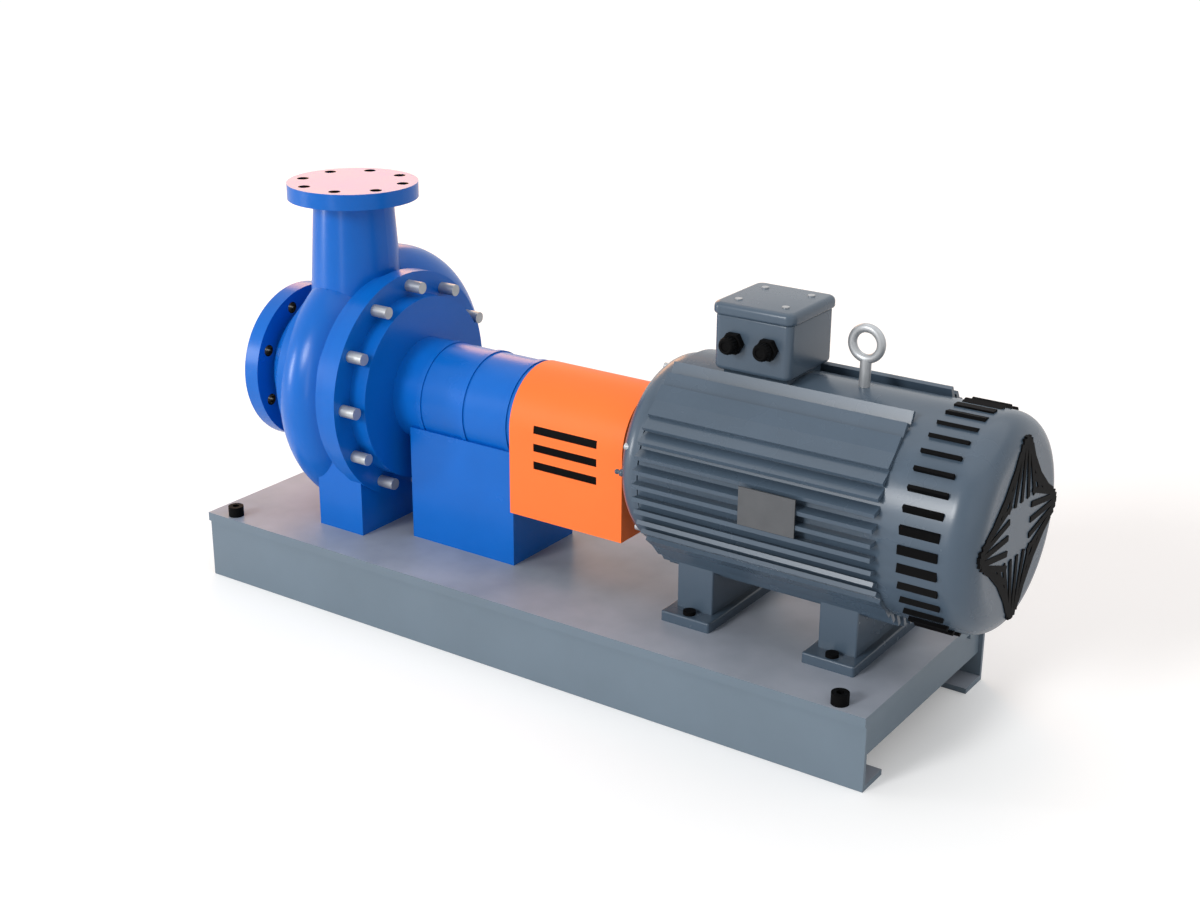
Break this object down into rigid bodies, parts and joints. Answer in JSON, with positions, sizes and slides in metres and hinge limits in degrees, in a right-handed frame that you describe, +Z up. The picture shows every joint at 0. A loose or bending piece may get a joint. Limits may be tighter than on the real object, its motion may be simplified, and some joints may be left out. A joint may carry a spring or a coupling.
{
  "type": "centrifugal pump set",
  "caption": "Horizontal end-suction centrifugal pump and finned electric motor, coupled under an arched guard on a steel channel base.",
  "frame": {"origin": "centre of the foundation bolt pattern, in the plane that the base channels rest on", "axes": "+X along the shaft from the pump to the motor's fan cover, +Y across the base away from the side with the cable glands, +Z up"},
  "size_m": [1.2645, 0.46, 0.629],
  "materials": {
    "pump_paint": "smooth semi-gloss blue enamel",
    "base_paint": "semi-gloss grey-blue paint on rolled steel",
    "motor_paint": "semi-gloss blue-grey paint on castings",
    "guard_paint": "semi-gloss orange powder coat on sheet",
    "zinc_steel": "bright zinc-plated fasteners",
    "black_steel": "black oxide and black polyamide fittings",
    "shaft_steel": "turned steel",
    "plate_metal": "dull anodised plate",
    "rubber": "black coupling rubber"
  },
  "bodies": {
    "root": {"base_plate": "base_paint", "front_channel": "base_paint", "rear_channel": "base_paint", "motor_end_member": "base_paint", "pump_end_member": "base_paint", "motor_cross_member": "base_paint", "pump_cross_member": "base_paint", "plate_screws": "black_steel", "volute_casing": "pump_paint", "discharge_blank": "pump_paint", "impeller": "shaft_steel", "casing_cover": "pump_paint", "cover_studs": "zinc_steel", "bearing_bracket": "pump_paint", "bracket_foot": "pump_paint", "pump_shaft": "shaft_steel", "pump_coupling_hub": "shaft_steel", "motor_coupling_hub": "shaft_steel", "coupling_spider": "rubber", "coupling_guard": "guard_paint", "guard_end_plate": "guard_paint", "motor_shaft": "shaft_steel", "drive_end_shield": "motor_paint", "shield_bolts": "zinc_steel", "stator_frame": "motor_paint", "fan_cover": "motor_paint", "side_vents": "black_steel", "end_grille": "black_steel", "drive_end_foot": "motor_paint", "fan_end_foot": "motor_paint", "foot_bolts": "black_steel", "terminal_box": "motor_paint", "terminal_box_lid": "motor_paint", "lid_screws": "zinc_steel", "cable_glands": "black_steel", "blanking_plug": "black_steel", "lifting_eye": "zinc_steel", "nameplate": "plate_metal"}
  },
  "joints": []
}
